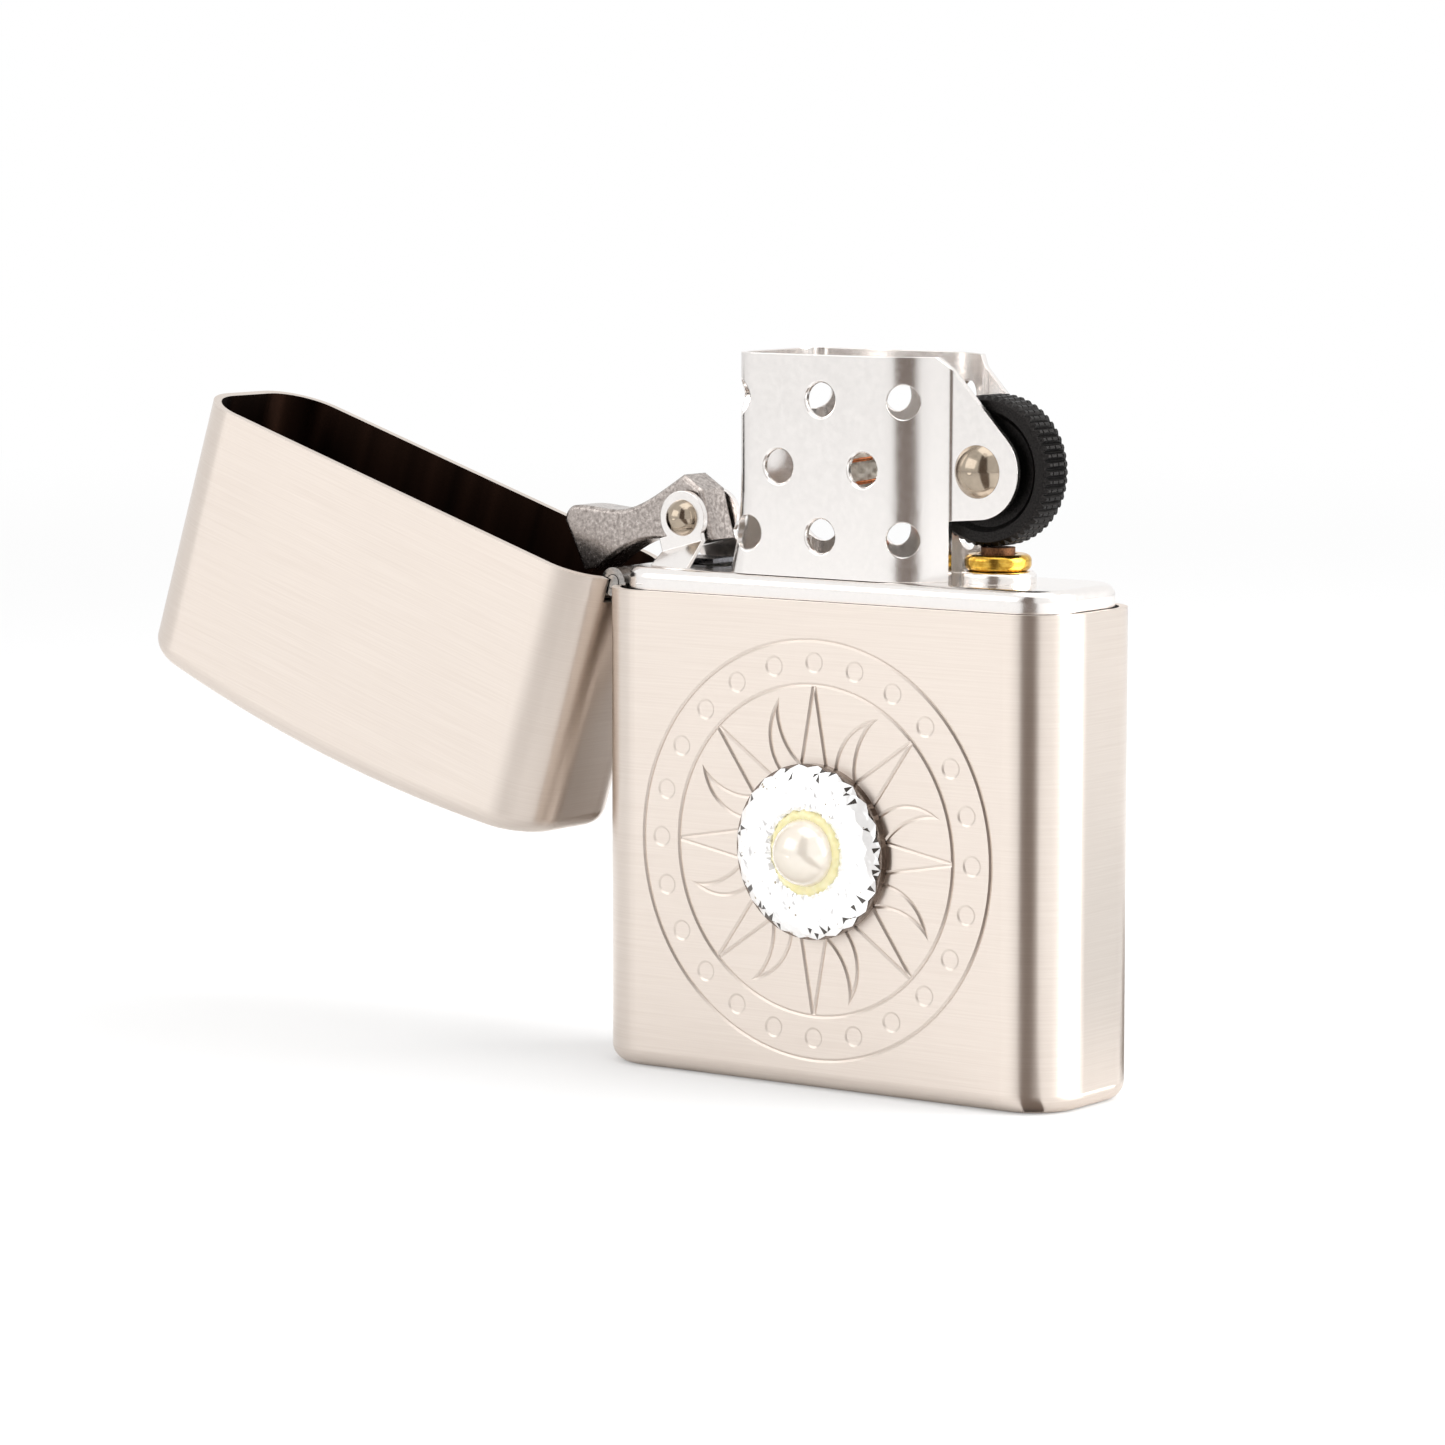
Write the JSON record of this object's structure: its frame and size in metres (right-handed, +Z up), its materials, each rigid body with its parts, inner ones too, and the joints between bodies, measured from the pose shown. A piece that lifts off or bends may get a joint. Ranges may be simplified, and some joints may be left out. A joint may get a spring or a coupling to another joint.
{
  "type": "lighter",
  "caption": "Flip-top windproof petrol lighter, standing open: brushed case with a pearl medallion, hinged lid, pierced windscreen, striker wheel and snap cam.",
  "frame": {"origin": "centre of the flat underside of the case", "axes": "+X from the hinge side to the striker-wheel side, -Y the decorated front face, +Z up; the lid is stored at its open stop"},
  "size_m": [0.0839, 0.0158, 0.052],
  "materials": {
    "brushed_case": "brushed nickel plate",
    "hinge_steel": "satin",
    "chrome_sheet": "polished",
    "rivet_steel": "polished",
    "black_steel": "blackened",
    "brass": "satin",
    "bright_steel": "polished",
    "spring_steel": "satin",
    "flint_alloy": "rough",
    "hardened_steel": "tumbled",
    "cotton": "woven cotton",
    "copper": "drawn wire",
    "felt": "felt",
    "polished_nickel": "polished",
    "cut_glass": "faceted, foil backed",
    "glue": "set glue",
    "pearl": "pearl lustre"
  },
  "bodies": {
    "case": {"case_shell": "brushed_case", "case_hinge_leaf": "hinge_steel", "hinge_pin": "hinge_steel", "insert_can": "chrome_sheet", "windscreen": "chrome_sheet", "wheel_rivet": "rivet_steel", "cam_rivet": "rivet_steel", "cam_spring_rivet": "rivet_steel", "flint_tube": "brass", "flint_screw": "brass", "flint_collar": "bright_steel", "flint_spring": "spring_steel", "cam_spring": "spring_steel", "wick": "cotton", "cotton_packing": "cotton", "wick_wire": "copper", "felt_pad": "felt", "medallion_cup": "polished_nickel", "medallion_stone": "cut_glass", "medallion_glue": "glue", "medallion_pearl": "pearl"},
    "lid": {"lid_shell": "brushed_case", "lid_hinge_leaf": "hinge_steel"},
    "cam": {"cam": "hardened_steel"},
    "wheel": {"flint_wheel": "black_steel"},
    "flint": {"flint": "flint_alloy", "flint_plunger": "brass"}
  },
  "joints": [
    {"name": "lid_hinge", "type": "hinge", "parent": "case", "child": "lid", "pos_m": [-0.02, 0, 0.0349], "axis": [0, -1, 0], "range_deg": [-162, 0]},
    {"name": "cam_pivot", "type": "hinge", "parent": "case", "child": "cam", "pos_m": [-0.0145, 0, 0.03975], "axis": [0, -1, 0], "range_deg": [-90, 0]},
    {"name": "wheel_spin", "type": "hinge", "parent": "case", "child": "wheel", "pos_m": [0.011, 0, 0.0441], "axis": [0, 1, 0], "continuous": true},
    {"name": "flint_feed", "type": "slide", "parent": "case", "child": "flint", "axis": [0, 0, 1], "range_m": [-0.0015, 0], "stiffness_N_per_m": 200, "springref_m": 0.001, "deforming": ["flint_spring"]}
  ],
  "couplings": [
    {"joint": "cam_pivot", "follows": "lid_hinge", "ratio": 0.555}
  ]
}
